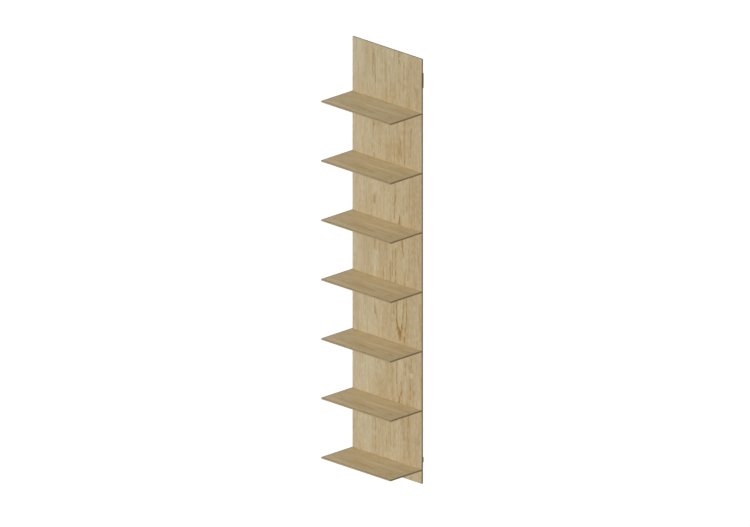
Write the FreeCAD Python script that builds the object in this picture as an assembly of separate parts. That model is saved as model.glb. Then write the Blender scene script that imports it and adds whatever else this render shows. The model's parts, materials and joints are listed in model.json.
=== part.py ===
import FreeCAD, Part
import os

# Wall-hung spine bookshelf, in millimetres: a tall thin back panel that carries thin shelves in housings,
# hooked on a wall rail with a 45 degree bevel, with a spacer that keeps its foot off the wall.
# X runs to the right, Y towards the wall and Z up. The wall is the plane Y = 0 and the room is on its
# -Y side. The origin is the centre of the wall rail's back face.

# Back panel
panel_width = 450.0
panel_height = 2068.0
panel_thickness = 8.0
wall_gap = 15.0             # wall to the panel's back face, filled by the rails and the spacer

# Shelves, which are as wide as the panel
shelf_count = 7
shelf_thickness = 7.0
shelf_depth = 204.0         # panel's front face to the shelf's front edge
lowest_shelf_rise = 63.0    # panel's bottom edge to the underside of the lowest shelf
top_shelf_drop = 264.0      # panel's top edge to the top face of the highest shelf

# Solid lippings glued round the edges of the boards
panel_lipping = 3.0
shelf_lipping = 5.0
arris_radius = 0.5          # the lippings' outer edges are eased

# Stopped housings in the panel's front face, one for the stub tongue on each shelf's back edge
housing_depth = 3.0
housing_stop = 12.0         # panel's side edge to the end of the housing
tongue_shoulder = 1.0       # step from a shelf's top or underside to its tongue
tongue_play = 0.1           # gap all round a tongue in its housing

# Bevelled rails: one on the wall, one on the panel, and a plain spacer at the panel's foot
rail_inset = 10.0           # panel's side edge to the end of a rail
rail_short_face = 29.0      # height of the narrower face of each rail
panel_rail_drop = 75.5      # panel's top edge to the panel rail's top edge
spacer_height = 24.0
spacer_rise = 98.5          # panel's bottom edge to the spacer's underside

# Countersunk wood screws with a 90 degree head
head_lip = 0.3              # straight rim of a head
recess_width = 0.8          # arms of the cross recess
recess_depth = 1.1
screw_clearance = 0.1       # gap between a screw and its hole
tip_ratio = 1.5             # length of the point, in shank diameters

shelf_screw_count = 4
shelf_screw_margin = 45.0   # panel's side edge to the first screw
shelf_screw_diameter = 3.0
shelf_screw_head = 6.0
shelf_screw_sink = 0.2      # head below the panel's back face
shelf_screw_bite = 22.0     # length in the shelf, from the panel's front face

rail_screw_count = 5
spacer_screw_count = 3
rail_screw_margin = 35.0    # end of a rail or spacer to its first screw
rail_screw_diameter = 3.5
rail_screw_head = 7.0
rail_screw_sink = 4.0       # head below the rail's back face
rail_screw_bite = 5.0       # length in the panel

# Holes in the wall rail for the screws that fasten it to a wall
wall_hole_count = 4
wall_hole_margin = 35.0     # end of the wall rail to its first hole
wall_hole_diameter = 5.0
wall_hole_head = 10.0
wall_hole_sink = 1.0        # countersink below the wall rail's front face

# Places that follow from the sizes above
panel_back_y = -wall_gap
panel_front_y = panel_back_y - panel_thickness
shelf_front_y = panel_front_y - shelf_depth
housing_floor_y = panel_front_y + housing_depth

rail_length = panel_width - 2 * rail_inset
bevel_back_z = rail_short_face / 2           # the bevels meet at this height on the wall
bevel_front_z = bevel_back_z + wall_gap      # and at this height on the panel
panel_rail_top_z = bevel_front_z + rail_short_face

panel_top_z = panel_rail_top_z + panel_rail_drop
panel_bottom_z = panel_top_z - panel_height
spacer_z = panel_bottom_z + spacer_rise
lowest_shelf_z = panel_bottom_z + lowest_shelf_rise
highest_shelf_z = panel_top_z - top_shelf_drop - shelf_thickness
shelf_pitch = (highest_shelf_z - lowest_shelf_z) / (shelf_count - 1)
shelf_levels = [lowest_shelf_z + i * shelf_pitch for i in range(shelf_count)]   # undersides

housing_reach = panel_width / 2 - housing_stop
tongue_reach = housing_reach - tongue_play

overrun = 1.0               # how far a cutting shape runs past the face it cuts


def block(low, high):
    """A box between two opposite corners."""
    size = [high[i] - low[i] for i in range(3)]
    return Part.makeBox(size[0], size[1], size[2], FreeCAD.Vector(*low))


def ease(solid, is_kept_sharp):
    """Round every edge of a lipping, apart from those on the faces that are glued."""
    edges = [edge for edge in solid.Edges if not is_kept_sharp(edge.CenterOfMass)]
    return solid.makeFillet(arris_radius, edges)


def places(margin, count, length):
    """Evenly spaced X positions across a length centred on X = 0, starting one margin from its ends."""
    first = margin - length / 2
    step = -2 * first / (count - 1)
    return [first + i * step for i in range(count)]


def turned(profile):
    """The solid that a half profile of (radius, y) points makes when it is turned about the Y axis."""
    points = [FreeCAD.Vector(radius, y, 0) for radius, y in profile]
    face = Part.Face(Part.makePolygon(points + points[:1]))
    return face.revolve(FreeCAD.Vector(0, 0, 0), FreeCAD.Vector(0, 1, 0), 360)


def cross_recess(head, shank):
    """Two crossed slots in a head, in X and in Z."""
    reach = (head + shank) / 4
    half = recess_width / 2
    wide = block((-reach, -recess_depth, -half), (reach, overrun, half))
    tall = block((-half, -recess_depth, -reach), (half, overrun, reach))
    return wide.fuse(tall)


def screw(shank, head, length):
    """A screw driven along -Y, with the flat of its head at Y = 0."""
    cone_end = head_lip + (head - shank) / 2
    profile = [(0, 0), (head / 2, 0), (head / 2, -head_lip), (shank / 2, -cone_end),
               (shank / 2, tip_ratio * shank - length), (0, -length)]
    return turned(profile).cut(cross_recess(head, shank))


def screw_hole(shank, head, length, sink):
    """The hole for such a screw, with the sinking that brings its head below a face at Y = sink."""
    wall = shank / 2 + screw_clearance
    rim = head / 2 + screw_clearance
    rim_end = head_lip + screw_clearance
    profile = [(0, sink + overrun), (rim, sink + overrun), (rim, -rim_end), (wall, -rim_end - rim + wall),
               (wall, -length - screw_clearance), (0, -length - screw_clearance)]
    return turned(profile)


def copies(shape, spots):
    """One copy of a shape at each spot."""
    made = []
    for spot in spots:
        placed = shape.copy()
        placed.translate(FreeCAD.Vector(*spot))
        made.append(placed)
    return made


# Every screw pattern is worked out once, and both the screws and their holes are placed by it.
shelf_screw_length = panel_thickness - shelf_screw_sink + shelf_screw_bite
rail_screw_length = wall_gap - rail_screw_sink + rail_screw_bite
shelf_screw_y = panel_back_y - shelf_screw_sink
rail_screw_y = -rail_screw_sink


def shelf_screw_spots(level):
    """Heads of the screws that hold one shelf."""
    columns = places(shelf_screw_margin, shelf_screw_count, panel_width)
    return [(x, shelf_screw_y, level + shelf_thickness / 2) for x in columns]


def panel_rail_screw_spots():
    """Heads of the screws that hold the panel rail, half way up its face on the panel."""
    columns = places(rail_screw_margin, rail_screw_count, rail_length)
    return [(x, rail_screw_y, bevel_front_z + rail_short_face / 2) for x in columns]


def spacer_screw_spots():
    """Heads of the screws that hold the spacer, half way up it."""
    columns = places(rail_screw_margin, spacer_screw_count, rail_length)
    return [(x, rail_screw_y, spacer_z + spacer_height / 2) for x in columns]


def shelf_screw_holes(level):
    """Holes through the panel and into one shelf."""
    hole = screw_hole(shelf_screw_diameter, shelf_screw_head, shelf_screw_length, shelf_screw_sink)
    return copies(hole, shelf_screw_spots(level))


def rail_screw_holes(spots):
    """Holes through a rail or the spacer and into the panel."""
    hole = screw_hole(rail_screw_diameter, rail_screw_head, rail_screw_length, rail_screw_sink)
    return copies(hole, spots)


def make_back_panel():
    """The panel's board, inside its lippings, with the housings and every screw's hole."""
    side = panel_width / 2 - panel_lipping
    board = block((-side, panel_front_y, panel_bottom_z + panel_lipping),
                  (side, panel_back_y, panel_top_z - panel_lipping))
    cuts = []
    for level in shelf_levels:
        low_z = level + tongue_shoulder - tongue_play
        high_z = level + shelf_thickness - tongue_shoulder + tongue_play
        cuts.append(block((-housing_reach, panel_front_y - overrun, low_z),
                          (housing_reach, housing_floor_y, high_z)))
        cuts += shelf_screw_holes(level)
    cuts += rail_screw_holes(panel_rail_screw_spots() + spacer_screw_spots())
    return board.cut(cuts)


def make_panel_side_lipping(side):
    """The upright lipping on the left (side -1) or right (side 1), over the panel's full height."""
    glued_x = side * (panel_width / 2 - panel_lipping)
    outer_x = side * panel_width / 2
    strip = block((min(glued_x, outer_x), panel_front_y, panel_bottom_z),
                  (max(glued_x, outer_x), panel_back_y, panel_top_z))
    return ease(strip, lambda middle: abs(middle.x - glued_x) < arris_radius)


def make_panel_end_lipping(side):
    """The level lipping at the panel's top (side 1) or bottom (side -1), between the upright ones."""
    reach = panel_width / 2 - panel_lipping
    outer_z = panel_top_z if side > 0 else panel_bottom_z
    glued_z = outer_z - side * panel_lipping
    strip = block((-reach, panel_front_y, min(glued_z, outer_z)), (reach, panel_back_y, max(glued_z, outer_z)))
    return ease(strip, lambda middle: abs(middle.z - outer_z) > arris_radius or abs(middle.x) > reach / 2)


def make_shelf_board(level):
    """A shelf's board, inside its lippings, with the tongue on its back edge and its screws' holes."""
    side = panel_width / 2 - shelf_lipping
    board = block((-side, shelf_front_y + shelf_lipping, level), (side, panel_front_y, level + shelf_thickness))
    tongue = block((-tongue_reach, panel_front_y - overrun, level + tongue_shoulder),
                   (tongue_reach, housing_floor_y - tongue_play, level + shelf_thickness - tongue_shoulder))
    return board.fuse(tongue).removeSplitter().cut(shelf_screw_holes(level))


def make_shelf_front_lipping(level):
    """The lipping on a shelf's front edge, over its full width."""
    glued_y = shelf_front_y + shelf_lipping
    strip = block((-panel_width / 2, shelf_front_y, level), (panel_width / 2, glued_y, level + shelf_thickness))
    return ease(strip, lambda middle: abs(middle.y - glued_y) < arris_radius)


def make_shelf_side_lipping(level, side):
    """The lipping on a shelf's left (side -1) or right (side 1) edge, from the panel to the front one."""
    glued_x = side * (panel_width / 2 - shelf_lipping)
    outer_x = side * panel_width / 2
    strip = block((min(glued_x, outer_x), shelf_front_y + shelf_lipping, level),
                  (max(glued_x, outer_x), panel_front_y, level + shelf_thickness))
    middle_y = (shelf_front_y + shelf_lipping + panel_front_y) / 2
    return ease(strip, lambda middle: abs(middle.x - outer_x) > arris_radius
                or abs(middle.y - middle_y) > arris_radius)


def make_rail(profile):
    """A rail with the given (y, z) section, centred on X = 0."""
    points = [FreeCAD.Vector(-rail_length / 2, y, z) for y, z in profile]
    face = Part.Face(Part.makePolygon(points + points[:1]))
    return face.extrude(FreeCAD.Vector(rail_length, 0, 0))


def make_wall_rail():
    """The rail on the wall: its bevel rises from the wall, and its holes are sunk in the front face."""
    foot_z = -rail_short_face / 2
    rail = make_rail([(0, foot_z), (0, bevel_back_z), (panel_back_y, bevel_front_z), (panel_back_y, foot_z)])
    wall = wall_hole_diameter / 2
    rim = wall_hole_head / 2
    rim_y = panel_back_y + wall_hole_sink
    profile = [(0, overrun), (wall, overrun), (wall, rim_y + rim - wall), (rim, rim_y),
               (rim, panel_back_y - overrun), (0, panel_back_y - overrun)]
    columns = places(wall_hole_margin, wall_hole_count, rail_length)
    return rail.cut(copies(turned(profile), [(x, 0, 0) for x in columns]))


def make_panel_rail():
    """The rail on the panel's back, whose bevel hooks over the wall rail's."""
    rail = make_rail([(0, bevel_back_z), (0, panel_rail_top_z),
                      (panel_back_y, panel_rail_top_z), (panel_back_y, bevel_front_z)])
    return rail.cut(rail_screw_holes(panel_rail_screw_spots()))


def make_bottom_spacer():
    """The block at the panel's foot, which bears on the wall."""
    spacer = block((-rail_length / 2, panel_back_y, spacer_z), (rail_length / 2, 0, spacer_z + spacer_height))
    return spacer.cut(rail_screw_holes(spacer_screw_spots()))


def make_screws(shank, head, length, spots):
    """A group of like screws, each a solid of its own."""
    return Part.makeCompound(copies(screw(shank, head, length), spots))


def make_nodes():
    """Every piece of the bookshelf, by name. Shelves are counted from the bottom."""
    nodes = {
        "wall_rail": make_wall_rail(),
        "panel_rail": make_panel_rail(),
        "panel_rail_screws": make_screws(rail_screw_diameter, rail_screw_head, rail_screw_length,
                                         panel_rail_screw_spots()),
        "bottom_spacer": make_bottom_spacer(),
        "spacer_screws": make_screws(rail_screw_diameter, rail_screw_head, rail_screw_length,
                                     spacer_screw_spots()),
        "back_panel": make_back_panel(),
        "panel_left_lipping": make_panel_side_lipping(-1),
        "panel_right_lipping": make_panel_side_lipping(1),
        "panel_top_lipping": make_panel_end_lipping(1),
        "panel_bottom_lipping": make_panel_end_lipping(-1),
    }
    for number, level in enumerate(shelf_levels, start=1):
        nodes[f"shelf_{number}_board"] = make_shelf_board(level)
        nodes[f"shelf_{number}_front_lipping"] = make_shelf_front_lipping(level)
        nodes[f"shelf_{number}_left_lipping"] = make_shelf_side_lipping(level, -1)
        nodes[f"shelf_{number}_right_lipping"] = make_shelf_side_lipping(level, 1)
        nodes[f"shelf_{number}_screws"] = make_screws(shelf_screw_diameter, shelf_screw_head,
                                                      shelf_screw_length, shelf_screw_spots(level))
    return nodes


os.makedirs("parts", exist_ok=True)
for name, shape in make_nodes().items():
    if not shape.isValid():
        raise ValueError(f"{name} is not a valid shape")
    shape.exportStep(f"parts/{name}.step")
    print(f"{name}: {len(shape.Solids)} solid(s), {shape.Volume / 1000:.2f} cm3")
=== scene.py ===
import json
import math

import bpy
from mathutils import Matrix, Vector


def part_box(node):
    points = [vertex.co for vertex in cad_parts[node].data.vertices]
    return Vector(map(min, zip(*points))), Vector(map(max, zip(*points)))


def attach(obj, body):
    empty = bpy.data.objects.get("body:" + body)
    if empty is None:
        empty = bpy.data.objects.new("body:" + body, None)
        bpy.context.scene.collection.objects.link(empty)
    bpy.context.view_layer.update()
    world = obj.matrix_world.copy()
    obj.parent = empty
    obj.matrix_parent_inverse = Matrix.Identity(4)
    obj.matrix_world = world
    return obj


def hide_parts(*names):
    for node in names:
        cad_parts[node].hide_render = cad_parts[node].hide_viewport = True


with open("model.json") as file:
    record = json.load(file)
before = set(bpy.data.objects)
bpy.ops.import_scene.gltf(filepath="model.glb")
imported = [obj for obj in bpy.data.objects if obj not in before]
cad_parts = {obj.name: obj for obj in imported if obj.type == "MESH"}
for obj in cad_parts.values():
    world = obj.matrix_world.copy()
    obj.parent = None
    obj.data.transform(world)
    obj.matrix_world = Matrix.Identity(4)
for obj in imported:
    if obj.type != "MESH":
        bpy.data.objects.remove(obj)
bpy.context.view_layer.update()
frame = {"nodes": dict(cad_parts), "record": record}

nodes = frame["nodes"]
mm = 0.001              # a millimetre in the scene's metres
near = 0.1 * mm         # spots closer than this count as one
overrun = 1             # how far a cutting shape runs past the face that it cuts, in millimetres
noiseMiddle = 0.5       # what a noise node gives on average
print("frame loaded:", len(nodes), "pieces")


def toLinear(hexColour):
    # sRGB hex to the linear colour that sockets take
    parts = [int(hexColour[i:i + 2], 16) / 255 for i in (1, 3, 5)]
    return tuple(c / 12.92 if c <= 0.04045 else ((c + 0.055) / 1.055) ** 2.4 for c in parts) + (1.0,)


def addNode(tree, kind, settings=None, links=None):
    # a node with its settings, and its inputs set to a value or joined to a socket
    node = tree.nodes.new(kind)
    for name, value in (settings or {}).items():
        setattr(node, name, value)
    for key, value in (links or {}).items():
        if isinstance(value, bpy.types.NodeSocket):
            tree.links.new(value, node.inputs[key])
        else:
            node.inputs[key].default_value = value
    return node


def newMaterial(name):
    material = bpy.data.materials.new(name)
    material.use_nodes = True
    material.node_tree.nodes.clear()
    return material, material.node_tree


def dress(names, material):
    for name in names:
        mesh = nodes[name].data
        mesh.materials.clear()
        mesh.materials.append(material)


# a parallel view from 45 degrees round to the right, looking down with a rise of one in three, in metres
cameraView = {
    "towards": (1, -1, 0.5),    # from the bookshelf to the camera
    "frameWidth": 3.4427,
    "side": -0.0719,            # middle of the frame, to the right of the origin
    "height": -0.8696,          # and above it
    "distance": 6.0,
}


def addCamera(v):
    towards = Vector(v["towards"]).normalized()
    right = Vector((0, 0, 1)).cross(towards).normalized()
    up = towards.cross(right)
    centre = right * v["side"] + up * v["height"]
    data = bpy.data.cameras.new("camera")
    data.type = "ORTHO"
    data.ortho_scale = v["frameWidth"]
    camera = bpy.data.objects.new("camera", data)
    camera.location = centre + towards * v["distance"]
    camera.rotation_euler = towards.to_track_quat("Z", "Y").to_euler()
    bpy.context.scene.collection.objects.link(camera)
    bpy.context.scene.camera = camera


addCamera(cameraView)
print("camera set")


# Wood patterns are worked out in millimetres in the board's own directions: across the fibres, through the
# thickness and along the fibres. The tone of a spot is the green step (0 to 255) of its sRGB colour.

def grainPlace(tree, order, repeat=None):
    # object coordinates in millimetres, reordered to across, through and along
    spot = addNode(tree, "ShaderNodeTexCoord").outputs["Object"]
    scaled = addNode(tree, "ShaderNodeVectorMath", {"operation": "SCALE"}, {0: spot, "Scale": 1 / mm})
    axes = addNode(tree, "ShaderNodeSeparateXYZ", {}, {0: scaled.outputs[0]})
    sockets = {axis: axes.outputs[axis] for axis in "XYZ"}
    if repeat:
        # one axis starts again and again, so that pieces in a row have the same pattern
        wrapped = addNode(tree, "ShaderNodeMath", {"operation": "WRAP"},
                          {0: sockets[repeat["axis"]], 1: repeat["high"], 2: repeat["low"]})
        sockets[repeat["axis"]] = wrapped.outputs[0]
    ordered = {i: sockets[axis] for i, axis in enumerate(order)}
    return addNode(tree, "ShaderNodeCombineXYZ", {}, ordered).outputs[0]


def wander(tree, place, w):
    # fibres drift sideways by a few millimetres over a long run
    slow = addNode(tree, "ShaderNodeVectorMath", {"operation": "DIVIDE"}, {0: place, 1: w["size"]})
    drift = addNode(tree, "ShaderNodeTexNoise", {}, {"Vector": slow.outputs[0], "Scale": 1.0, "Detail": 1.0})
    centred = addNode(tree, "ShaderNodeVectorMath", {"operation": "SUBTRACT"},
                      {0: drift.outputs["Color"], 1: (noiseMiddle,) * 3})
    return addNode(tree, "ShaderNodeVectorMath", {"operation": "MULTIPLY_ADD"},
                   {0: centred.outputs[0], 1: w["reach"], 2: place}).outputs[0]


def grainNoise(tree, place, layer):
    # noise stretched to the layer's size across, through and along, from 0 to 1
    shrunk = addNode(tree, "ShaderNodeVectorMath", {"operation": "DIVIDE"}, {0: place, 1: layer["size"]})
    noise = addNode(tree, "ShaderNodeTexNoise", {},
                    {"Vector": shrunk.outputs[0], "Scale": 1.0, "Detail": layer.get("detail", 1.0)})
    return noise.outputs["Fac"]


def layeredTone(tree, place, middle, layers):
    # each layer swings the tone up and down about the middle, more so to the right where it has a growth
    across = addNode(tree, "ShaderNodeSeparateXYZ", {}, {0: place}).outputs["X"]
    tone = middle
    for layer in layers:
        swing = layer["swing"]
        if "growth" in layer:
            swing = addNode(tree, "ShaderNodeMath", {"operation": "MULTIPLY_ADD"},
                            {0: across, 1: layer["growth"], 2: swing}).outputs[0]
        spread = addNode(tree, "ShaderNodeMath", {"operation": "SUBTRACT"},
                         {0: grainNoise(tree, place, layer), 1: noiseMiddle})
        tone = addNode(tree, "ShaderNodeMath", {"operation": "MULTIPLY_ADD"},
                       {0: spread.outputs[0], 1: swing, 2: tone}).outputs[0]
    return tone


markFade = 10.0         # how steeply a mark fades at its ends: at 10 it takes about a tenth of the length


def makeMarkGroup():
    # one tongue or line of dark late wood, drawn between a start and an end and added to a running sum
    tree = bpy.data.node_groups.new("lateWoodMark", "ShaderNodeTree")
    taken = {"Place": "Vector", "Start": "Vector", "End": "Vector", "Depth": "Float", "Sum": "Float"}
    for name, kind in taken.items():
        tree.interface.new_socket(name, in_out="INPUT", socket_type="NodeSocket" + kind)
    tree.interface.new_socket("Sum", in_out="OUTPUT", socket_type="NodeSocketFloat")
    given = addNode(tree, "NodeGroupInput").outputs
    spot = addNode(tree, "ShaderNodeSeparateXYZ", {}, {0: given["Place"]}).outputs
    start = addNode(tree, "ShaderNodeSeparateXYZ", {}, {0: given["Start"]}).outputs
    end = addNode(tree, "ShaderNodeSeparateXYZ", {}, {0: given["End"]}).outputs
    # how far along the mark a spot lies, from 0 to 1, and the mark's middle and half width there
    part = addNode(tree, "ShaderNodeMapRange", {"clamp": False},
                   {"Value": spot["Z"], "From Min": start["Z"], "From Max": end["Z"]}).outputs[0]
    middle = addNode(tree, "ShaderNodeMapRange", {"clamp": False},
                     {"Value": part, "To Min": start["X"], "To Max": end["X"]}).outputs[0]
    width = addNode(tree, "ShaderNodeMapRange", {"clamp": False},
                    {"Value": part, "To Min": start["Y"], "To Max": end["Y"]}).outputs[0]
    offset = addNode(tree, "ShaderNodeMath", {"operation": "SUBTRACT"}, {0: spot["X"], 1: middle}).outputs[0]
    ratio = addNode(tree, "ShaderNodeMath", {"operation": "DIVIDE"}, {0: offset, 1: width}).outputs[0]
    squared = addNode(tree, "ShaderNodeMath", {"operation": "MULTIPLY"}, {0: ratio, 1: ratio}).outputs[0]
    bell = addNode(tree, "ShaderNodeMath", {"operation": "POWER"}, {0: 1 / math.e, 1: squared}).outputs[0]
    rest = addNode(tree, "ShaderNodeMath", {"operation": "SUBTRACT"}, {0: 1.0, 1: part}).outputs[0]
    hump = addNode(tree, "ShaderNodeMath", {"operation": "MULTIPLY"}, {0: part, 1: rest}).outputs[0]
    window = addNode(tree, "ShaderNodeMath", {"operation": "MULTIPLY", "use_clamp": True},
                     {0: hump, 1: markFade}).outputs[0]
    shape = addNode(tree, "ShaderNodeMath", {"operation": "MULTIPLY"}, {0: bell, 1: window}).outputs[0]
    total = addNode(tree, "ShaderNodeMath", {"operation": "MULTIPLY_ADD"},
                    {0: shape, 1: given["Depth"], 2: given["Sum"]}).outputs[0]
    addNode(tree, "NodeGroupOutput", {}, {"Sum": total})
    return tree


markGroup = makeMarkGroup()


def drawMarks(tree, place, marks):
    # the depth of all marks at a spot, in steps of tone
    total = 0.0
    for start, end, depth in marks:
        mark = addNode(tree, "ShaderNodeGroup", {"node_tree": markGroup},
                       {"Place": place, "Start": start, "End": end, "Depth": depth, "Sum": total})
        total = mark.outputs["Sum"]
    return total


def toneToColour(tree, tone, stops):
    # the wood's own colours from dark to pale, read by the tone
    low, high = stops[0][0], stops[-1][0]
    share = addNode(tree, "ShaderNodeMapRange", {},
                    {"Value": tone, "From Min": low, "From Max": high}).outputs[0]
    ramp = addNode(tree, "ShaderNodeValToRGB", {}, {0: share})
    band = ramp.color_ramp
    while len(band.elements) < len(stops):
        band.elements.new(1.0)
    for element, (step, colour) in zip(band.elements, stops):
        element.position = (step - low) / (high - low)
        element.color = toLinear(colour)
    return ramp.outputs["Color"]


# what the upright and the level veneer share, in millimetres and steps of tone
slicedOak = {
    # how the marks' edges waver
    "wobble": {"size": (25, 25, 70), "reach": (5, 0, 14)},
    # single fibres, drawn four times too wide to show
    "fine": {"size": (0.8, 1, 16), "swing": 12, "detail": 1.0},
    # open vessels, twice as wide as real, and what makes up for their shade
    "pores": {"size": (0.6, 0.8, 7), "from": 0.60, "to": 0.72, "depth": 13, "balance": 1.0},
}

# Oak veneer, sliced and sanded, under matt oil: pale straw with darker streaks and tongues of late wood
uprightVeneer = {
    **slicedOak,
    "middle": 165.5,
    "trend": -0.022,        # steps of tone for each millimetre to the right, where it is darker
    "stops": [(115, "#926f3e"), (135, "#a08558"), (150, "#ab956d"),
              (165, "#b6a583"), (178, "#bfb294"), (190, "#c8c1a4")],
    "wander": {"size": (70, 40, 230), "reach": (12, 0, 30)},
    "layers": [
        {"size": (90, 30, 420), "swing": 28},                                 # slow change across the leaf
        {"size": (6, 10, 150), "swing": 36, "detail": 1.0, "growth": 0.01},   # streaks of early and late wood
        {"size": (4.4, 8, 24), "swing": 46, "detail": 1.0, "growth": 0.03},   # short dashes in the streaks
        {"size": (35, 20, 55), "swing": 10},                                  # soft blotches
        {"size": (2.4, 3, 60), "swing": 18, "detail": 2.0},                   # bundles of fibres
    ],
    # how fibres break the marks up: the share of a mark's depth where their noise is low and where it is high
    "broken": {"size": (5, 6, 28), "detail": 2.0, "from": 0.3, "to": 0.7, "most": 1.3, "least": 0.3},
    "leaf": {"top": 150, "length": 1695},   # the leaf's marks start again below its length
    "marks": [
        # (across, half width, height) where a mark starts and ends, and how dark it is: below 0 it is pale
        # top bay, and again at the foot
        ((-84, 3, 114), (-85, 11, 58), 14), ((-83, 9, 92), (-85, 9, 26), 13),
        ((-91, 4, 62), (-94, 4, -46), 12), ((-80, 4, 66), (-75, 3, -60), 30),
        ((-95, 4, -70), (-95, 4, -160), 16), ((-76, 4, -70), (-75, 4, -160), 16),
        ((78, 6, 158), (78, 6, 106), 44), ((78, 5, 102), (76, 4, 72), 28),
        ((107, 3, 82), (107, 4, -10), 15), ((107, 5, -12), (106, 5, -60), 22),
        ((13, 6, 62), (12, 6, 6), 16), ((-8, 7, 74), (-8, 7, -44), 6), ((-5, 7, -52), (-6, 7, -146), 16),
        ((-14, 4, 60), (-14, 4, -24), 8), ((47, 3, 144), (47, 3, 36), 18),
        ((140, 8, 150), (140, 8, -146), 9), ((152, 4, 102), (152, 4, 66), 20),
        ((138, 5, 62), (139, 5, 24), 18), ((131, 3, 44), (131, 3, -74), 11),
        ((192, 16, -10), (190, 14, -58), 9), ((22, 5, -22), (23, 5, -104), 12),
        ((48, 5, -20), (47, 5, -114), 10), ((-40, 4, 14), (-40, 4, -52), 8),
        ((-213, 7, -30), (-213, 7, -82), 13), ((-190, 3, 62), (-190, 3, -44), 9),
        ((75, 14, -30), (80, 16, -134), -4),
        # second bay
        ((-87, 9, -214), (-87, 6, -274), 22), ((-87, 4, -250), (-89, 3, -318), 22),
        ((112, 3.5, -168), (112, 3.5, -418), 34), ((80, 3, -236), (81, 5, -302), 14),
        ((83, 7, -286), (86, 10, -370), 24), ((76, 4, -328), (70, 4, -408), 22),
        ((92, 4, -334), (94, 4, -400), 26), ((155, 8, -216), (155, 8, -322), 16),
        ((-95, 4, -350), (-95, 4, -394), 24), ((-86, 6, -394), (-86, 6, -430), 28),
        ((-50, 5, -322), (-49, 5, -404), 10), ((-56, 8, -232), (-55, 8, -266), 9),
        ((47, 4, -286), (47, 4, -414), 7), ((172, 9, -190), (172, 9, -240), -5),
        # third bay
        ((56, 2.5, -510), (56, 2.5, -560), 18), ((53, 4, -564), (53, 3.5, -608), 36),
        ((48, 2.5, -598), (47, 2.5, -690), 46), ((-79, 9, -598), (-84, 6, -644), 30),
        ((-81, 5, -584), (-84, 4, -652), 24), ((-68, 4, -576), (-68, 4, -604), 16),
        ((82, 2, -656), (77, 12, -748), 56), ((106, 3, -566), (107, 4, -664), 15),
        ((126, 4, -604), (126, 4, -638), 24), ((-68, 4, -640), (-68, 4, -706), 8),
        ((28, 4, -664), (28, 4, -710), 13),
        # fourth bay
        ((-77, 9, -806), (-78, 5, -864), 24), ((-50, 7, -822), (-50, 6, -874), 12),
        ((99, 4.5, -770), (102, 5, -848), 40), ((105, 4, -838), (106, 4, -868), 28),
        ((54, 3, -824), (54, 3, -882), 34), ((55, 3, -884), (55, 3, -928), 32),
        ((54, 3, -926), (54, 4, -1016), 44), ((34, 3, -840), (35, 3, -894), 38),
        ((34, 3, -896), (34, 3, -982), 36), ((21, 3, -886), (22, 3, -1016), 40),
        ((-24, 3, -936), (-24, 4, -1016), 18), ((112, 4, -926), (112, 4, -1016), 22),
        ((185, 5, -842), (184, 5, -884), 16), ((205, 8, -826), (205, 7, -884), 16),
        ((180, 4, -950), (181, 4, -1004), 13), ((135, 8, -930), (136, 8, -970), 11),
        ((160, 4, -856), (160, 4, -934), 11), ((215, 5, -876), (215, 5, -964), 12),
        ((-80, 13, -866), (-84, 15, -1030), -7), ((-138, 15, -840), (-138, 15, -990), -6),
        ((-6, 34, -800), (-6, 34, -1030), 8),
        # fifth bay: a long tongue between two lines
        ((60, 3.5, -1046), (61, 3.5, -1192), 50), ((61, 4, -1170), (71, 6, -1224), 44),
        ((68, 6, -1202), (82, 8, -1248), 42), ((84, 10, -1220), (85, 8, -1274), 56),
        ((108, 3.5, -1056), (106, 3.5, -1132), 32), ((106, 4, -1118), (99, 4, -1182), 36),
        ((96, 5, -1182), (95, 5, -1214), 48), ((96, 5, -1198), (90, 6, -1242), 30),
        ((126, 3, -1046), (127, 3, -1164), 50), ((127, 3.5, -1148), (122, 4, -1212), 28),
        ((120, 4, -1198), (114, 4, -1266), 20), ((-78, 7, -1142), (-74, 6, -1182), 27),
        ((-72, 5, -1166), (-66, 5, -1204), 28), ((42, 4, -1116), (41, 4, -1156), 24),
        ((113, 4, -1242), (112, 4, -1304), 40), ((212, 5, -1056), (212, 5, -1204), 18),
        ((216, 5, -1116), (216, 5, -1294), 13), ((-30, 8, -1116), (-30, 8, -1284), 5),
        # sixth bay: a pin knot and a forked tongue
        ((61, 3.5, -1376), (62, 3.5, -1488), 34), ((66, 4, -1468), (72, 4, -1562), 18),
        ((94, 3.5, -1464), (93, 4, -1540), 26), ((95, 4, -1512), (82, 5, -1570), 36),
        ((79, 6, -1538), (77, 6, -1600), 24), ((154, 13, -1366), (154, 13, -1416), 19),
        ((156, 5, -1336), (157, 5, -1364), 18), ((160, 20, -1414), (160, 20, -1434), -9),
        ((177, 5, -1362), (178, 5, -1402), -11), ((147, 6, -1440), (148, 5, -1504), 20),
        ((152, 5, -1476), (152, 5, -1544), 21), ((171, 6, -1442), (172, 6, -1534), 10),
        ((36, 8, -1404), (36, 8, -1566), 13), ((146, 14, -1420), (148, 15, -1580), 6),
        ((120, 3.5, -1371), (120, 3.5, -1434), 18), ((112, 3, -1336), (112, 3, -1404), 13),
        ((85, 16, -1350), (85, 14, -1486), -9), ((-20, 15, -1340), (-20, 15, -1490), -7),
    ],
}

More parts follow.
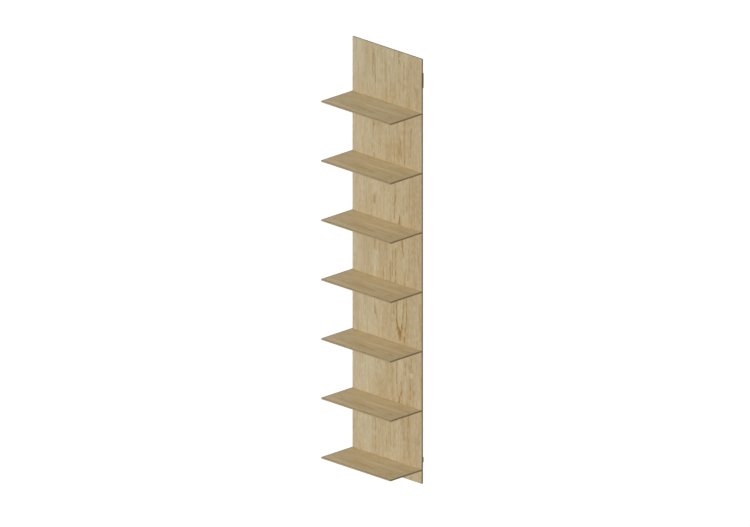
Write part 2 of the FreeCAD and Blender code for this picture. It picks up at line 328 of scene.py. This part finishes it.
# the same veneer on the shelves, with its fibres along the shelf and a warmer tone
levelVeneer = {
    **slicedOak,
    "middle": 168.5,
    "stops": [(125, "#9d7e49"), (140, "#a88a5c"), (150, "#af966a"),
              (165, "#b9a57d"), (180, "#c4b490"), (192, "#cdc09e")],
    "wander": {"size": (60, 40, 200), "reach": (8, 0, 20)},
    "broken": {"size": (5, 6, 40), "detail": 2.0, "from": 0.3, "to": 0.7, "most": 1.4, "least": 0.6},
    "layers": [
        {"size": (40, 20, 260), "swing": 16},
        {"size": (11, 12, 110), "swing": 26, "detail": 1.0},
        {"size": (8, 9, 34), "swing": 22, "detail": 1.0},
        {"size": (2.4, 3, 60), "swing": 12, "detail": 2.0},
    ],
    "marks": [
        ((-203, 11, -240), (-202, 11, -20), -12), ((-120, 12, -70), (-112, 12, 190), -14),
        ((-160, 9, -110), (-172, 8, 80), 14), ((-167, 7, 145), (-167, 7, 180), 15),
        ((-90, 7, -215), (-90, 7, -160), 12), ((-36, 5, -125), (-36, 5, -80), 12),
        ((-42, 10, -235), (-40, 10, -165), 9), ((-80, 9, 50), (-82, 9, 225), 9),
        ((-33, 4, -40), (-33, 4, 235), 11), ((-158, 7, -170), (-175, 7, -120), 8),
        ((-125, 8, -240), (-125, 8, -190), 8), ((-53, 9, -60), (-53, 9, 100), -9),
        ((-208, 9, -40), (-206, 9, 250), -6),
    ],
}


def veneerTone(tree, place, v, side=None):
    # the tone of sliced oak, and its fine relief for the bump: side tells where the marks show
    drifted = wander(tree, place, v["wander"])
    tone = layeredTone(tree, drifted, v["middle"], v["layers"])
    axes = addNode(tree, "ShaderNodeSeparateXYZ", {}, {0: wander(tree, place, v["wobble"])}).outputs
    if "trend" in v:
        tone = addNode(tree, "ShaderNodeMath", {"operation": "MULTIPLY_ADD"},
                       {0: axes["X"], 1: v["trend"], 2: tone}).outputs[0]
    along = axes["Z"]
    if "leaf" in v:
        top = v["leaf"]["top"]
        along = addNode(tree, "ShaderNodeMath", {"operation": "WRAP"},
                        {0: along, 1: top, 2: top - v["leaf"]["length"]}).outputs[0]
    markPlace = addNode(tree, "ShaderNodeCombineXYZ", {}, {0: axes["X"], 1: axes["Y"], 2: along}).outputs[0]
    marks = drawMarks(tree, markPlace, v["marks"])
    b = v["broken"]
    share = addNode(tree, "ShaderNodeMapRange", {"clamp": False},
                    {"Value": grainNoise(tree, drifted, b), "From Min": b["from"], "From Max": b["to"],
                     "To Min": b["most"], "To Max": b["least"]}).outputs[0]
    if side is not None:
        share = addNode(tree, "ShaderNodeMath", {"operation": "MULTIPLY"}, {0: share, 1: side}).outputs[0]
    marks = addNode(tree, "ShaderNodeMath", {"operation": "MULTIPLY"}, {0: marks, 1: share}).outputs[0]
    tone = addNode(tree, "ShaderNodeMath", {"operation": "SUBTRACT"}, {0: tone, 1: marks}).outputs[0]
    return addFineGrain(tree, drifted, tone, v)


def addFineGrain(tree, place, tone, v):
    # single fibres and open pores, for close looks: the tone with them, and their relief
    swing = v["fine"]["swing"]
    fibres = grainNoise(tree, place, v["fine"])
    tone = addNode(tree, "ShaderNodeMath", {"operation": "MULTIPLY_ADD"},
                   {0: fibres, 1: swing, 2: tone}).outputs[0]
    p = v["pores"]
    vessels = grainNoise(tree, place, p)
    pores = addNode(tree, "ShaderNodeMapRange", {"interpolation_type": "SMOOTHSTEP"},
                    {"Value": vessels, "From Min": p["from"], "From Max": p["to"]}).outputs[0]
    shade = addNode(tree, "ShaderNodeMath", {"operation": "MULTIPLY_ADD"},
                    {0: pores, 1: -p["depth"], 2: p["balance"] - swing * noiseMiddle}).outputs[0]
    tone = addNode(tree, "ShaderNodeMath", {"operation": "ADD"}, {0: tone, 1: shade}).outputs[0]
    relief = addNode(tree, "ShaderNodeMath", {"operation": "SUBTRACT"}, {0: fibres, 1: pores}).outputs[0]
    return tone, relief


# matt oil: the pores stay rougher than the fibres between them
woodFinish = {
    "poreRelief": -0.5,
    "poreRoughness": 0.70,
    "fibreRelief": 0.8,
    "fibreRoughness": 0.55,
    "specular": 0.30,
    "bump": 0.5,
    "depth": 0.00012,       # metres from a pore's floor to the fibres
}


def finishWood(tree, colour, relief, f=woodFinish):
    rough = addNode(tree, "ShaderNodeMapRange", {},
                    {"Value": relief, "From Min": f["poreRelief"], "From Max": f["fibreRelief"],
                     "To Min": f["poreRoughness"], "To Max": f["fibreRoughness"]}).outputs[0]
    bump = addNode(tree, "ShaderNodeBump", {},
                   {"Height": relief, "Strength": f["bump"], "Distance": f["depth"]}).outputs[0]
    shader = addNode(tree, "ShaderNodeBsdfPrincipled", {},
                     {"Base Color": colour, "Roughness": rough, "Normal": bump,
                      "Specular IOR Level": f["specular"]})
    addNode(tree, "ShaderNodeOutputMaterial", {}, {"Surface": shader.outputs["BSDF"]})


# Solid oak strips, planed and eased by hand: closer and darker than the veneer, and darkest along the
# arrises, where shade is painted
lippingOak = {
    "middle": 146,
    "level": 0,             # painted light and shade: steps lighter on the faces that look up or down
    "stops": [(80, "#65502f"), (100, "#786342"), (120, "#8c7754"), (146, "#a69069"), (165, "#b8a47b")],
    "wander": {"size": (30, 30, 160), "reach": (2, 2, 10)},
    "layers": [
        {"size": (14, 14, 180), "swing": 18},
        {"size": (3, 3, 40), "swing": 16, "detail": 2.0},
    ],
    # fibres and pores are drawn as wide as on the veneer
    "fine": {"size": (0.8, 0.8, 14), "swing": 10, "detail": 1.0},
    "pores": {"size": (0.6, 0.6, 6), "from": 0.60, "to": 0.72, "depth": 13, "balance": 1.0},
    "arris": 42,            # steps of painted shade, darker along a rounded arris
}

# how the strips differ: all but the rails carry painted shade where their faces turn from the light
stripToneAndShade = {
    # panel edge strips: painted shade, dark all over, standing in for the shaded side and top edge of the
    # panel
    "panelSides": dict(lippingOak, middle=108),
    "panelEnds": dict(lippingOak, middle=104),
    # front strips: painted shade, darker on the faces that look up and down, a dark line along each shelf's
    # front edge
    "shelfFront": dict(lippingOak, level=-14),
    # left strips: painted shade, dark all over and darker still on the faces that look up, a dark line along
    # each shelf's left end
    "shelfLeft": dict(lippingOak, middle=98, level=-18),
    # right strips: painted shade, their outer face darker than their top, as if turned from the light
    "shelfRight": dict(lippingOak, middle=134, level=22),
    "rails": dict(lippingOak, middle=150),
}

# how straight a surface faces along the nearest of its object's directions, out of 1
facing = {
    "flat": 0.995,          # on a flat face
    "round": 0.85,          # in the middle of a rounded arris
    "front": 0.9,           # at least this much on the panel's front and back
}


def arrisMask(tree):
    # 1 on a rounded arris and 0 on a flat face, and the size of the normal along the object's axes
    normal = addNode(tree, "ShaderNodeTexCoord").outputs["Normal"]
    size = addNode(tree, "ShaderNodeVectorMath", {"operation": "ABSOLUTE"}, {0: normal}).outputs[0]
    axes = addNode(tree, "ShaderNodeSeparateXYZ", {}, {0: size}).outputs
    larger = addNode(tree, "ShaderNodeMath", {"operation": "MAXIMUM"}, {0: axes["X"], 1: axes["Y"]})
    largest = addNode(tree, "ShaderNodeMath", {"operation": "MAXIMUM"}, {0: larger.outputs[0], 1: axes["Z"]})
    mask = addNode(tree, "ShaderNodeMapRange", {"interpolation_type": "SMOOTHSTEP"},
                   {"Value": largest.outputs[0], "From Min": facing["flat"],
                    "From Max": facing["round"]}).outputs[0]
    return mask, axes


def solidTone(tree, place, v):
    # the tone of solid oak with its painted shade, its relief, and the size of the normal for those who need
    # it
    mask, axes = arrisMask(tree)
    drifted = wander(tree, place, v["wander"])
    tone = layeredTone(tree, drifted, v["middle"], v["layers"])
    tone, relief = addFineGrain(tree, drifted, tone, v)
    # painted shade along the arrises, and painted light and shade by how far a face looks up or down
    for amount, steps in ((mask, -v["arris"]), (axes["Z"], v["level"])):
        tone = addNode(tree, "ShaderNodeMath", {"operation": "MULTIPLY_ADD"},
                       {0: amount, 1: steps, 2: tone}).outputs[0]
    return tone, relief, axes


def frontHalf(tree, place):
    # 1 in the front half of the panel's thickness: the leaf on its back has no tongues
    low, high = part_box("back_panel")
    through = addNode(tree, "ShaderNodeSeparateXYZ", {}, {0: place}).outputs["Y"]
    return addNode(tree, "ShaderNodeMath", {"operation": "LESS_THAN"},
                   {0: through, 1: (low.y + high.y) / 2 / mm}).outputs[0]


def makePanelVeneer():
    material, tree = newMaterial("oakVeneerUpright")
    place = grainPlace(tree, "XYZ")
    tone, relief = veneerTone(tree, place, uprightVeneer, frontHalf(tree, place))
    finishWood(tree, toneToColour(tree, tone, uprightVeneer["stops"]), relief)
    return material


def makeShelfVeneer(repeat):
    material, tree = newMaterial("oakVeneerLevel")
    place = grainPlace(tree, "YZX", repeat)
    tone, relief = veneerTone(tree, place, levelVeneer)
    finishWood(tree, toneToColour(tree, tone, levelVeneer["stops"]), relief)
    return material


def makeLipping(name, order, v):
    material, tree = newMaterial(name)
    tone, relief, _ = solidTone(tree, grainPlace(tree, order), v)
    finishWood(tree, toneToColour(tree, tone, v["stops"]), relief)
    return material


def makePanelLipping(name, order, v):
    # the panel's veneer runs over its lippings, so only their outer edges show solid oak
    material, tree = newMaterial(name)
    tone, relief, axes = solidTone(tree, grainPlace(tree, order), v)
    solid = toneToColour(tree, tone, v["stops"])
    place = grainPlace(tree, "XYZ")
    faceTone, _ = veneerTone(tree, place, uprightVeneer, frontHalf(tree, place))
    face = toneToColour(tree, faceTone, uprightVeneer["stops"])
    faced = addNode(tree, "ShaderNodeMath", {"operation": "GREATER_THAN"},
                    {0: axes["Y"], 1: facing["front"]}).outputs[0]
    colour = addNode(tree, "ShaderNodeMix", {"data_type": "RGBA"}, {"Factor": faced, "A": solid, "B": face})
    finishWood(tree, [o for o in colour.outputs if o.type == "RGBA"][0], relief)
    return material


def shelfRepeat():
    # the shelves' pattern starts again half way from one shelf to the next
    first, second = (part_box(f"shelf_{n}_board")[1].z / mm for n in (1, 2))
    half = (second - first) / 2
    return {"axis": "Z", "high": first + half, "low": first - half}


panelVeneer = makePanelVeneer()
shelfVeneer = makeShelfVeneer(shelfRepeat())
uprightLipping = makePanelLipping("oakLippingUpright", "XYZ", stripToneAndShade["panelSides"])
crossLipping = makePanelLipping("oakLippingCross", "YZX", stripToneAndShade["panelEnds"])
frontLipping = makeLipping("oakLippingFront", "YZX", stripToneAndShade["shelfFront"])
leftLipping = makeLipping("oakLippingLeft", "ZXY", stripToneAndShade["shelfLeft"])
rightLipping = makeLipping("oakLippingRight", "ZXY", stripToneAndShade["shelfRight"])
railOak = makeLipping("oakRail", "YZX", stripToneAndShade["rails"])
dress(["back_panel"], panelVeneer)
dress([n for n in nodes if n.endswith("board")], shelfVeneer)
print("oak set")


# Steel, zinc plated in a barrel: bright grey, with fine clouds where smooth dark and rough pale crystals meet
zincCoat = {
    "clouds": {"size": (0.6, 0.6, 0.6), "detail": 3.0},     # drawn a few times too wide, to show
    "dark": "#8e9196",
    "pale": "#c3c5c6",
    "smooth": 0.28,
    "rough": 0.5,
    "bump": 0.3,
    "depth": 0.00005,       # metres
}


def makeZinc(name, z):
    material, tree = newMaterial(name)
    place = grainPlace(tree, "XYZ")
    cloudy = grainNoise(tree, place, z["clouds"])
    colour = addNode(tree, "ShaderNodeValToRGB", {}, {0: cloudy})
    for element, shade in zip(colour.color_ramp.elements, (z["dark"], z["pale"])):
        element.color = toLinear(shade)
    rough = addNode(tree, "ShaderNodeMapRange", {},
                    {"Value": cloudy, "To Min": z["smooth"], "To Max": z["rough"]}).outputs[0]
    bump = addNode(tree, "ShaderNodeBump", {},
                   {"Height": cloudy, "Strength": z["bump"], "Distance": z["depth"]}).outputs[0]
    shader = addNode(tree, "ShaderNodeBsdfPrincipled", {},
                     {"Base Color": colour.outputs[0], "Metallic": 1.0, "Roughness": rough, "Normal": bump})
    addNode(tree, "ShaderNodeOutputMaterial", {}, {"Surface": shader.outputs["BSDF"]})
    return material


zincSteel = makeZinc("zincPlatedSteel", zincCoat)
print("zinc set")


def deselectAll():
    bpy.ops.object.select_all(action="DESELECT")


def addCuboid(name, low, high):
    deselectAll()
    bpy.ops.mesh.primitive_cube_add(size=1, location=(low + high) / 2, scale=high - low)
    piece = bpy.context.object
    piece.name = piece.data.name = name
    bpy.ops.object.transform_apply(location=True, rotation=True, scale=True)
    return piece


def pick(piece, kind, wanted):
    # selects the edges, faces or vertices whose middle passes the test, and leaves edit mode open
    bpy.context.view_layer.objects.active = piece
    bpy.ops.object.mode_set(mode="EDIT")
    bpy.ops.mesh.select_mode(type=kind)
    bpy.ops.mesh.select_all(action="DESELECT")
    bpy.ops.object.mode_set(mode="OBJECT")
    mesh = piece.data
    if kind == "VERT":
        for vertex in mesh.vertices:
            vertex.select = wanted(vertex.co)
    if kind == "EDGE":
        for edge in mesh.edges:
            a, b = (mesh.vertices[i].co for i in edge.vertices)
            edge.select = wanted((a + b) / 2)
    if kind == "FACE":
        for face in mesh.polygons:
            face.select = wanted(face.center)
    bpy.ops.object.mode_set(mode="EDIT")


smoothAngle = 30        # degrees: rounded arrises turn by less from face to face, corners by more


def finishPiece(piece, material, body, node):
    # smooth across the rounded arrises, sharp everywhere else, and riding where its node did
    deselectAll()
    piece.select_set(True)
    bpy.context.view_layer.objects.active = piece
    bpy.ops.object.shade_smooth_by_angle(angle=math.radians(smoothAngle))
    piece.data.materials.clear()
    piece.data.materials.append(material)
    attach(piece, body)
    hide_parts(node)


# every lipping is planed flush, and its outer arrises are eased by hand
lippingShape = {"arris": 0.5, "steps": 4}


def makeStrip(name, node, isOuter, material):
    # isOuter tells the edges that are eased, by their middle
    low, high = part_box(node)
    piece = addCuboid(name, low, high)
    pick(piece, "EDGE", isOuter)
    bpy.ops.mesh.bevel(offset=lippingShape["arris"] * mm, segments=lippingShape["steps"])
    bpy.ops.object.mode_set(mode="OBJECT")
    finishPiece(piece, material, "bookshelf", node)


def makePanelLippings():
    # the number tells which corner of the node's box lies outside: 0 the low one, 1 the high one
    for side, corner in (("left", 0), ("right", 1)):
        node = f"panel_{side}_lipping"
        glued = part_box(node)[1 - corner].x
        makeStrip(f"panel{side.title()}Lipping", node, lambda m: abs(m.x - glued) > near, uprightLipping)
    for side, corner in (("bottom", 0), ("top", 1)):
        node = f"panel_{side}_lipping"
        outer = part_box(node)[corner].z
        makeStrip(f"panel{side.title()}Lipping", node,
                  lambda m: abs(m.z - outer) < near and abs(m.x) < near, crossLipping)


def makeShelfLippings(number):
    node = f"shelf_{number}_front_lipping"
    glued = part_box(node)[1].y
    makeStrip(f"shelf{number}FrontLipping", node, lambda m: abs(m.y - glued) > near, frontLipping)
    for side, corner, material in (("left", 0, leftLipping), ("right", 1, rightLipping)):
        node = f"shelf_{number}_{side}_lipping"
        low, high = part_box(node)
        outer = (low, high)[corner].x
        middle = (low.y + high.y) / 2
        makeStrip(f"shelf{number}{side.title()}Lipping", node,
                  lambda m: abs(m.x - outer) < near and abs(m.y - middle) < near, material)


makePanelLippings()
shelfCount = sum(n.endswith("board") for n in nodes)
for number in range(1, shelfCount + 1):
    makeShelfLippings(number)
print("lippings made")


def turnRings(name, rings, sides):
    # a round solid along -Y: one filled circle, extruded through the rings of (depth, radius) in millimetres
    depth, radius = rings[0]
    deselectAll()
    bpy.ops.mesh.primitive_circle_add(vertices=sides, radius=radius * mm, fill_type="NGON",
                                      location=(0, -depth * mm, 0), rotation=(math.pi / 2, 0, 0))
    piece = bpy.context.object
    piece.name = piece.data.name = name
    bpy.ops.object.transform_apply(location=True, rotation=True, scale=True)
    bpy.ops.object.mode_set(mode="EDIT")
    bpy.ops.mesh.select_mode(type="FACE")
    bpy.ops.mesh.select_all(action="SELECT")
    for nextDepth, nextRadius in rings[1:]:
        bpy.ops.mesh.extrude_region_move(TRANSFORM_OT_translate={"value": (0, (depth - nextDepth) * mm, 0)})
        share = nextRadius / radius
        bpy.ops.transform.resize(value=(share, 1, share), center_override=(0, -nextDepth * mm, 0))
        depth, radius = nextDepth, nextRadius
    bpy.ops.mesh.select_all(action="SELECT")
    bpy.ops.mesh.normals_make_consistent(inside=False)
    bpy.ops.object.mode_set(mode="OBJECT")
    return piece


def copiesAt(source, spots, name):
    # one copy of a mesh at each spot, joined into one piece
    made = []
    for spot in spots:
        copy = source.copy()
        copy.data = source.data.copy()
        copy.data.transform(Matrix.Translation(spot))
        bpy.context.scene.collection.objects.link(copy)
        made.append(copy)
    deselectAll()
    for copy in made:
        copy.select_set(True)
    bpy.context.view_layer.objects.active = made[0]
    bpy.ops.object.join()
    made[0].name = made[0].data.name = name
    return made[0]


def cutAway(piece, cutter):
    deselectAll()
    bpy.context.view_layer.objects.active = piece
    piece.select_set(True)
    cut = piece.modifiers.new("cut", "BOOLEAN")
    cut.operation = "DIFFERENCE"
    cut.solver = "EXACT"
    cut.object = cutter
    bpy.ops.object.modifier_apply(modifier="cut")
    bpy.data.objects.remove(cutter)


# countersunk wood screws with a cross recess, in millimetres
screwShape = {
    "shelf": {"head": 6.0, "shank": 3.0, "length": 29.8, "plain": 9.0, "pitch": 1.35},
    "rail": {"head": 7.0, "shank": 3.5, "length": 16.0, "plain": 4.5, "pitch": 1.6},
    "lip": 0.3,             # straight rim of a head
    "edge": 0.1,            # its rounded edge
    "root": 0.70,           # core of the thread, as a share of the shank
    "ridge": 0.55,          # foot of the thread, as a share of its pitch
    "point": 1.5,           # length of the point, in shank diameters
    "tip": 0.05,            # radius of the point's end
    "lastRing": 0.2,        # length without rings before the end
    "sides": 28,
    "ringsPerTurn": 8,
    "recess": {"width": 0.8, "depth": 1.1, "taper": 0.7},
    "apart": 10,            # a wider gap than this parts one screw of a group from the next
}


def screwSpots(node):
    # the middle of each head in a group of screws
    low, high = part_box(node)
    across = sorted(v.co.x for v in nodes[node].data.vertices)
    groups = [[across[0]]]
    for x in across[1:]:
        if x - groups[-1][-1] > screwShape["apart"] * mm:
            groups.append([])
        groups[-1].append(x)
    return [Vector(((g[0] + g[-1]) / 2, high.y, (low.z + high.z) / 2)) for g in groups]


def screwTaper(s, depth):
    # the share of its thickness that the screw has left towards its point
    return min(1.0, (s["length"] - depth) / (screwShape["point"] * s["shank"]))


def makeScrew(kind):
    s = screwShape[kind]
    head, shank, edge = s["head"] / 2, s["shank"] / 2, screwShape["edge"]
    coneEnd = screwShape["lip"] + head - shank
    rings = [(0, head - edge), (edge / 3, head - edge / 3), (edge, head), (screwShape["lip"], head),
             (coneEnd, shank), (s["plain"] - s["pitch"] / 2, shank)]
    depth = s["plain"]
    while depth < s["length"] - screwShape["lastRing"]:
        rings.append((depth, shank * screwTaper(s, depth)))
        depth += s["pitch"] / screwShape["ringsPerTurn"]
    rings.append((s["length"], screwShape["tip"]))
    piece = turnRings(kind + "Screw", rings, screwShape["sides"])
    # the thread: every spot of the rings below the plain shank is moved in to the core, save along the ridge
    for vertex in piece.data.vertices:
        x, y, z = vertex.co
        if -y < s["plain"] * mm - near or -y > s["length"] * mm - near:
            continue
        turn = (math.atan2(z, x) / (2 * math.pi) - y / mm / s["pitch"]) % 1
        height = max(0.0, 1 - abs(2 * turn - 1) / screwShape["ridge"])
        share = screwShape["root"] + (1 - screwShape["root"]) * height
        vertex.co = (x * share, y, z * share)
    recess = screwShape["recess"]
    reach = (head + shank) / 2
    for width, height in ((reach, recess["width"] / 2), (recess["width"] / 2, reach)):
        low = Vector((-width, -recess["depth"], -height)) * mm
        arm = addCuboid("arm", low, Vector((width, overrun, height)) * mm)
        pick(arm, "FACE", lambda m: m.y < -recess["depth"] / 2 * mm)
        bpy.ops.transform.resize(value=(recess["taper"], 1, recess["taper"]), center_override=(0, 0, 0))
        bpy.ops.object.mode_set(mode="OBJECT")
        cutAway(piece, arm)
    return piece


def makeScrews():
    for kind in ("shelf", "rail"):
        screw = makeScrew(kind)
        groups = [n for n in nodes if n.endswith("screws") and n.startswith("shelf") == (kind == "shelf")]
        for node in sorted(groups):
            words = node.split("_")
            name = words[0] + "".join(w.title() for w in words[1:])
            finishPiece(copiesAt(screw, screwSpots(node), name), zincSteel, "bookshelf", node)
        bpy.data.objects.remove(screw)


makeScrews()
print("screws made")


# bevelled rails and spacer, sawn from oak batten, their arrises taken off with a plane, in millimetres
railShape = {
    "arris": 0.6,
    "steps": 3,
    "sides": 40,            # round a hole
    "play": 0.1,            # between a screw and its hole
    "headSink": 4.0,        # the part's own heads lie this deep below the faces on the wall
    "wallHole": 5.0,        # diameter of the holes for wall screws
    "wallHead": 10.0,       # and of their countersinks
    "wallSink": 1.0,        # which start this deep below the rail's front face
}


def ownHole(thickness):
    # depth and radius down a hole for one of the part's own screws, from the face on the wall
    head = screwShape["rail"]["head"] / 2 + railShape["play"]
    shank = screwShape["rail"]["shank"] / 2 + railShape["play"]
    seat = railShape["headSink"] + screwShape["lip"] + railShape["play"]
    return [(-overrun, head), (seat, head), (seat + head - shank, shank), (thickness + overrun, shank)]


def wallHole(thickness):
    # and down a hole for a wall screw, whose head goes in from the other side
    hole, head = railShape["wallHole"] / 2, railShape["wallHead"] / 2
    seat = thickness - railShape["wallSink"]
    return [(-overrun, hole), (seat - head + hole, hole), (seat, head), (thickness + overrun, head)]


def makeRail(name, node, body, holeRings, spots, slope):
    # slope tells the edge that the 45 degree bevel moves, up or down by the rail's own depth
    low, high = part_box(node)
    depth = high.y - low.y
    piece = addCuboid(name, low, high)
    if slope:
        wall, up = slope
        y, z = (high.y if wall else low.y), (low.z if up else high.z)
        pick(piece, "VERT", lambda v: abs(v.y - y) < mm and abs(v.z - z) < mm)
        bpy.ops.transform.translate(value=(0, 0, depth if up else -depth))
        bpy.ops.object.mode_set(mode="OBJECT")
    pick(piece, "EDGE", lambda m: True)
    bpy.ops.mesh.bevel(offset=railShape["arris"] * mm, segments=railShape["steps"])
    bpy.ops.object.mode_set(mode="OBJECT")
    cutter = turnRings("hole", holeRings(round(depth / mm, 3)), railShape["sides"])
    holes = copiesAt(cutter, spots, "holes")
    bpy.data.objects.remove(cutter)
    cutAway(piece, holes)
    finishPiece(piece, railOak, body, node)


def wallHoleSpots():
    # the wall rail's holes are its bolt pattern mounts
    spots = []
    for mount in frame["record"]["mounts"]:
        if mount["kind"] == "bolt_pattern":
            half = mount["dims"]["spacing_x_mm"] / 2 * mm
            spots += [Vector(mount["pos_m"]) + Vector((x, 0, 0)) for x in (-half, half)]
    return spots


def backSpots(node):
    # where the axes of a group of screws meet the wall
    return [Vector((s.x, 0, s.z)) for s in screwSpots(node)]


makeRail("wallRail", "wall_rail", "wall_rail", wallHole, wallHoleSpots(), (True, False))
makeRail("panelRail", "panel_rail", "bookshelf", ownHole, backSpots("panel_rail_screws"), (False, True))
makeRail("bottomSpacer", "bottom_spacer", "bookshelf", ownHole, backSpots("spacer_screws"), None)
print("rails made")


# a pale floor below the panel's foot, in metres, which glows to white where it is seen itself
floorPlace = {"z": -2.10, "half": 30.0, "paint": "#c0c0c0", "glow": 0.73}
white = (1, 1, 1, 1)
lampSet = {
    # direction towards the lamp, strength, angular size in degrees, whether it casts shadows
    "frontKey": ((-0.33, -0.83, 0.45), 2.60, 40, False),
    "frontShade": ((-0.33, -0.83, 0.45), 0.08, 40, True),
    "rightFill": ((1, 0, 0), 0.15, 40, False),
    "backFill": ((0, 1, 0), 2.3, 40, False),
    "underFill": ((0, 0, -1), 0.7, 40, False),
}
worldLevel = 0.15       # light from all sides


def seenRay(tree):
    # 1 for what the camera, a gloss or a glass sees, and 0 for light that falls on the object
    path = addNode(tree, "ShaderNodeLightPath").outputs
    seen = addNode(tree, "ShaderNodeMath", {"operation": "MAXIMUM"},
                   {0: path["Is Camera Ray"], 1: path["Is Glossy Ray"]}).outputs[0]
    return addNode(tree, "ShaderNodeMath", {"operation": "MAXIMUM"},
                   {0: seen, 1: path["Is Transmission Ray"]}).outputs[0]


def addFloor(f):
    deselectAll()
    bpy.ops.mesh.primitive_plane_add(size=2 * f["half"], location=(0, 0, f["z"]))
    floor = bpy.context.object
    floor.name = "floor"
    material, tree = newMaterial("paleFloor")
    diffuse = addNode(tree, "ShaderNodeBsdfDiffuse", {}, {"Color": toLinear(f["paint"])})
    glow = addNode(tree, "ShaderNodeEmission", {}, {"Color": white, "Strength": f["glow"]})
    add = addNode(tree, "ShaderNodeAddShader", {}, {0: diffuse.outputs[0], 1: glow.outputs[0]})
    mix = addNode(tree, "ShaderNodeMixShader", {},
                  {0: seenRay(tree), 1: diffuse.outputs[0], 2: add.outputs[0]})
    # from below it is clear, so that the undersides can be looked at
    below = addNode(tree, "ShaderNodeNewGeometry").outputs["Backfacing"]
    clear = addNode(tree, "ShaderNodeBsdfTransparent")
    floorShader = addNode(tree, "ShaderNodeMixShader", {}, {0: below, 1: mix.outputs[0], 2: clear.outputs[0]})
    addNode(tree, "ShaderNodeOutputMaterial", {}, {"Surface": floorShader.outputs[0]})
    floor.data.materials.append(material)


def addLamps(lamps):
    for name, (direction, strength, size, shadow) in lamps.items():
        data = bpy.data.lights.new(name, "SUN")
        data.energy = strength
        data.angle = math.radians(size)
        data.use_shadow = shadow
        lamp = bpy.data.objects.new(name, data)
        lamp.rotation_euler = Vector(direction).to_track_quat("Z", "Y").to_euler()
        bpy.context.scene.collection.objects.link(lamp)


def addWorld(strength):
    world = bpy.data.worlds.new("studio")
    world.use_nodes = True
    tree = world.node_tree
    tree.nodes.clear()
    sky = addNode(tree, "ShaderNodeBackground", {}, {"Color": white, "Strength": strength})
    backdrop = addNode(tree, "ShaderNodeBackground", {}, {"Color": white, "Strength": 1.0})
    mix = addNode(tree, "ShaderNodeMixShader", {},
                  {0: seenRay(tree), 1: sky.outputs[0], 2: backdrop.outputs[0]})
    addNode(tree, "ShaderNodeOutputWorld", {}, {"Surface": mix.outputs[0]})
    bpy.context.scene.world = world


addFloor(floorPlace)
addLamps(lampSet)
addWorld(worldLevel)
bpy.context.scene.view_settings.view_transform = "Standard"
print("stage and lamps set")
